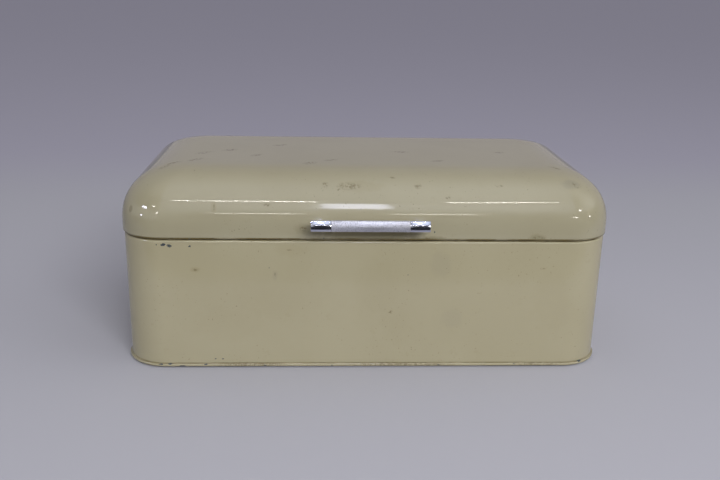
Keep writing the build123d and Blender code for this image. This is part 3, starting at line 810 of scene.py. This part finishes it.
def metal(name, tint, roughness, bumps, bump_scale, mottle, speckle=0.0):
    """A metal whose shine is broken up by smears, grey specks and bumps of a height in mm."""
    made, tree, surface = new_material(name)
    place = add_node(tree, "ShaderNodeTexCoord").outputs["Object"]
    smear = noise_at(tree, place, smear_scale, 5, 0.65)
    darker = tuple(c * (1 - mottle) for c in tint[:3]) + (1,)
    shade = blend_colour(tree, step_up(tree, smear, 0.35, 0.7), tint, darker)
    specks = step_up(tree, noise_at(tree, place, speck_scale, 2), 0.50, 0.66, 0.0, speckle)
    shade = blend_colour(tree, specks, shade, speck_grey)
    tree.links.new(shade, surface.inputs["Base Color"])
    rough = step_up(tree, smear, 0.3, 0.75, roughness, roughness * 1.5 + 0.02)
    tree.links.new(rough, surface.inputs["Roughness"])
    surface.inputs["Metallic"].default_value = 1.0
    grain = calculate(tree, "MULTIPLY", noise_at(tree, place, bump_scale, 3, 0.6), bumps * mm)
    relief(tree, surface, grain)
    return made


satin = metal("satin_grip", colour(216, 216, 226), 0.40,
              bumps=0.012, bump_scale=1400, mottle=0.06, speckle=0.50)
chrome = metal("bright_chrome", colour(205, 207, 222), 0.09,
               bumps=0.00015, bump_scale=300, mottle=0.05, speckle=0.05)

grip = begin("handle_bar")
bar_wire(grip, -grip_half)
bpy.ops.mesh.extrude_region_move(TRANSFORM_OT_translate={"value": (2 * grip_half * mm, 0, 0)})
for x in (-grip_half, grip_half):
    ease_end(grip, x, joint_edge, steps=2)
face_outwards()
settle(grip, satin, "lid", "satin_metal", "handle_grip", matrix=on_lid)

end_start = grip_half + joint_play
for side, name in ((1, "right"), (-1, "left")):
    end = begin("handle_tip_" + name)
    bar_wire(end, side * end_start)
    bpy.ops.mesh.extrude_region_move(
        TRANSFORM_OT_translate={"value": (side * (end_length - joint_play) * mm, 0, 0)})
    ease_end(end, side * end_start, joint_edge, steps=2)
    ease_end(end, side * (grip_half + end_length), end_edge, steps=3)
    face_outwards()
    bpy.ops.object.mode_set(mode="OBJECT")

    post = begin("post")
    bpy.ops.mesh.delete(type="VERT")
    root = handle_gap + bar_back_edge
    bpy.ops.mesh.primitive_plane_add(size=mm, location=(side * post_place * mm, 0, root * mm))
    bpy.ops.transform.resize(value=(post_width, post_top, 1))
    bpy.ops.mesh.bevel(offset=post_edge * mm, segments=bend_steps, affect="VERTICES")
    bpy.ops.mesh.extrude_region_move(TRANSFORM_OT_translate={"value": (0, 0, (post_play - root) * mm)})
    bpy.ops.transform.resize(value=(1, post_foot / post_top, 1))
    face_outwards()
    bpy.ops.object.mode_set(mode="OBJECT")
    apply_modifier(end, "BOOLEAN", object=post, operation="UNION", solver="EXACT")
    bpy.data.objects.remove(post)
    settle(end, chrome, "lid", "bright_chrome", "handle_end_" + name, matrix=on_lid)


# Handle screws and washers, inside the lid: pan heads with a cross recess, zinc plated.
# They pass through the lid into the posts.
washer_face, washer_thickness, washer_bore, washer_radius = 1.169, 0.8, 2.25, 5.0
washer_flat, washer_edge = 4.8, 0.15
screw_tip, screw_radius, screw_head_height = 7.0, 2.0, 2.6
head_rounding = [(3.8, 1.1), (3.5, 0.5), (2.9, 0.12), (2.2, 0)]
recess_size, recess_width, recess_depth = 4.4, 1.0, 1.5

zinc = metal("zinc_plate", colour(158, 158, 152), 0.34, bumps=0.004, bump_scale=500, mottle=0.35)


def turned(name, outline, steps=32):
    """A piece turned about the upright axis from its half outline: (radius, height)."""
    piece = begin(name)
    draw_wire([(radius, 0, height) for radius, height in outline])
    bpy.ops.mesh.select_all(action="SELECT")
    bpy.ops.mesh.spin(steps=steps, angle=2 * pi, center=(0, 0, 0), axis=(0, 0, 1))
    bpy.ops.mesh.select_all(action="SELECT")
    bpy.ops.mesh.remove_doubles(threshold=touch)
    face_outwards()
    bpy.ops.object.mode_set(mode="OBJECT")
    return piece


screw_seat = -(washer_face + washer_thickness)
head_end = screw_seat - screw_head_height
for side, name in ((1, "right"), (-1, "left")):
    at_post = on_lid @ Matrix.Translation((side * post_place * mm, 0, 0))
    washer = turned("washer_" + name, [
        (washer_bore, -washer_face), (washer_flat, -washer_face),
        (washer_radius, -washer_face - washer_edge), (washer_radius, screw_seat + washer_edge),
        (washer_flat, screw_seat), (washer_bore, screw_seat), (washer_bore, -washer_face),
    ], steps=40)
    settle(washer, zinc, "lid", "plated_steel", "handle_washers", matrix=at_post)

    screw = turned("screw_" + name, [
        (0, screw_tip), (screw_radius, screw_tip), (screw_radius, screw_seat),
        (head_rounding[0][0], screw_seat),
        *[(radius, head_end + rise) for radius, rise in head_rounding], (0, head_end),
    ], steps=40)
    bpy.ops.object.select_all(action="DESELECT")
    bpy.ops.mesh.primitive_cube_add(size=mm, location=(0, 0, head_end * mm))
    cross = bpy.context.object
    bpy.ops.object.mode_set(mode="EDIT")
    bpy.ops.transform.resize(value=(recess_size, recess_width, 2 * recess_depth))
    bpy.ops.mesh.select_all(action="DESELECT")
    bpy.ops.mesh.primitive_cube_add(size=mm, location=(0, 0, head_end * mm))
    bpy.ops.transform.resize(value=(recess_width, recess_size, 2 * recess_depth))
    bpy.ops.object.mode_set(mode="OBJECT")
    apply_modifier(screw, "BOOLEAN", object=cross, operation="DIFFERENCE", solver="EXACT", use_self=True)
    bpy.data.objects.remove(cross)
    settle(screw, zinc, "lid", "plated_steel", "handle_screws", matrix=at_post)


# Hinges: folded leaves with interleaved knuckles on a peened pin, and a pair of stop tails.
# The leaves sit inside the wall and the lid. Each piece keeps its exact CAD shape, smoothed.
level_angle, leaf_smooth_angle = 0.5, 30


def smooth_copy(node, name, material, body, slot):
    """A merged, smooth-shaded copy of a CAD node, which it replaces."""
    piece = bpy.data.objects.new(name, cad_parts[node].data.copy())
    bpy.context.scene.collection.objects.link(piece)
    take_up(piece)
    bpy.ops.object.mode_set(mode="EDIT")
    bpy.ops.mesh.select_all(action="SELECT")
    bpy.ops.mesh.remove_doubles(threshold=touch)
    bpy.ops.mesh.dissolve_limited(angle_limit=radians(level_angle))
    back = Matrix.Translation((0, -plan_centre, 0))
    settle(piece, material, body, slot, node, matrix=back, crease=leaf_smooth_angle)


for side in ("left", "right"):
    smooth_copy(f"hinge_{side}_body_leaf", f"leaf_body_{side}", zinc, "base", "plated_steel")
    smooth_copy(f"hinge_{side}_lid_leaf", f"leaf_lid_{side}", zinc, "lid", "plated_steel")
    smooth_copy(f"hinge_{side}_pin", f"pin_{side}", zinc, "base", "plated_steel")


# Rivets: twelve domed steel rivets, three through each hinge leaf, flattened on the inside.
# The body's go straight through the rear wall and the lid's lean with its edge.
rivet_pitch, wall_rivet_height, lid_rivet_angle = 17.0, 102.9, radians(6)
rivet_head, rivet_dome, rivet_shank, rivet_tail, rivet_grip = 2.8, 1.2, 1.5, 2.4, 1.95
rivet_seat, tail_height, dome_steps, lid_extra_grip = 0.05, 0.9, 5, 0.06
tail_rounding = [(1, 0.5), (0.85, 0.9), (0.6, 1)]    # shares of the tail's radius and height


def rivet(name, grip, body, node, matrix):
    """One rivet along its third axis, with its head outwards."""
    turns = [pi / 2 * (1 - step / dome_steps) for step in range(1, dome_steps + 1)]
    dome = [(rivet_head * cos(turn), rivet_seat + rivet_dome * sin(turn)) for turn in turns]
    tail = [
        (rivet_shank, rivet_seat), (rivet_shank, -grip), (rivet_tail, -grip),
        *[(rivet_tail * wide, -grip - tail_height * deep) for wide, deep in tail_rounding],
        (0, -grip - tail_height),
    ]
    piece = turned(name, [(0, rivet_seat + rivet_dome), *dome, *tail], steps=24)
    settle(piece, zinc, body, "plated_steel", node, matrix=matrix)


out_of_wall = Matrix.Rotation(-pi / 2, 4, "X")
lid_rivet_lean = atan2(edge_width * sin(lid_rivet_angle), edge_height * cos(lid_rivet_angle))
out_of_lid = Matrix.Rotation(lid_rivet_lean - pi / 2, 4, "X")
lid_rivet_out, lid_rivet_height, _ = edge_level(lid_rivet_angle)
count = 0
for hinge in (-hinge_place, hinge_place):
    for step in (-rivet_pitch, 0, rivet_pitch):
        count += 1
        wall_spot = Vector((hinge + step, half_depth, wall_rivet_height)) * mm
        at_wall = Matrix.Translation(wall_spot) @ out_of_wall
        rivet(f"rivet_wall_{count}", rivet_grip, "base", "hinge_rivets_body", at_wall)
        lid_spot = Vector((hinge + step, half_depth + lid_rivet_out, lid_rivet_height)) * mm
        at_lid = Matrix.Translation(lid_spot) @ out_of_lid
        rivet(f"rivet_lid_{count}", rivet_grip + lid_extra_grip, "lid", "hinge_rivets_lid", at_lid)


# Feet and buffers: four black rubber feet stuck under the pan, and two pale soft buttons
# pushed into the front flange, which hold the seam open by a hair.
foot_x, foot_y, buffer_x, buffer_y = 180.0, 80.0, 150.0, -104.0
dust_scale, grain_scale, grain_height = 260, 1800, 0.04 * mm
foot_outline = [
    (0, 4.5), (7.5, 4.5), (7.12, 1.0), (6.95, 0.45), (6.6, 0.12),
    (6.2, 0), (3.4, 0), (3.1, 0.35), (2.6, 0.5), (0, 0.5),
]
buffer_outline = [
    (0, 0.9), (1.7, 0.9), (2.2, 0.78), (2.5, 0.5), (2.6, 0.2), (2.6, 0), (1.5, 0),
    (1.5, -0.9), (2.0, -0.9), (0.9, -3.4), (0, -3.4),
]


def rubber(name, tint):
    """Dull moulded rubber with a fine grain and dusty patches."""
    made, tree, surface = new_material(name)
    place = add_node(tree, "ShaderNodeTexCoord").outputs["Object"]
    dust = step_up(tree, noise_at(tree, place, dust_scale, 5, 0.65), 0.42, 0.75)
    dusty = tuple(min(1, c * 1.8 + 0.02) for c in tint[:3]) + (1,)
    tree.links.new(blend_colour(tree, dust, tint, dusty), surface.inputs["Base Color"])
    tree.links.new(step_up(tree, dust, 0, 1, 0.55, 0.8), surface.inputs["Roughness"])
    grain = calculate(tree, "MULTIPLY", noise_at(tree, place, grain_scale, 2), grain_height)
    relief(tree, surface, grain)
    return made


black_rubber = rubber("black_rubber", colour(30, 30, 31))
pale_rubber = rubber("pale_rubber", colour(176, 170, 150))
for y_side, y_name in ((-1, "front"), (1, "rear")):
    for x_side, x_name in ((-1, "left"), (1, "right")):
        foot = turned(f"rubber_foot_{y_name}_{x_name}", foot_outline, steps=40)
        at_corner = Matrix.Translation((x_side * foot_x * mm, y_side * foot_y * mm, 0))
        settle(foot, black_rubber, "base", "black_rubber", f"foot_{y_name}_{x_name}", matrix=at_corner)
for side, name in ((-1, "left"), (1, "right")):
    button = turned("button_" + name, buffer_outline)
    at_flange = Matrix.Translation((side * buffer_x * mm, buffer_y * mm, seam_height * mm))
    settle(button, pale_rubber, "base", "pale_rubber", "lid_buffer_" + name, matrix=at_flange)
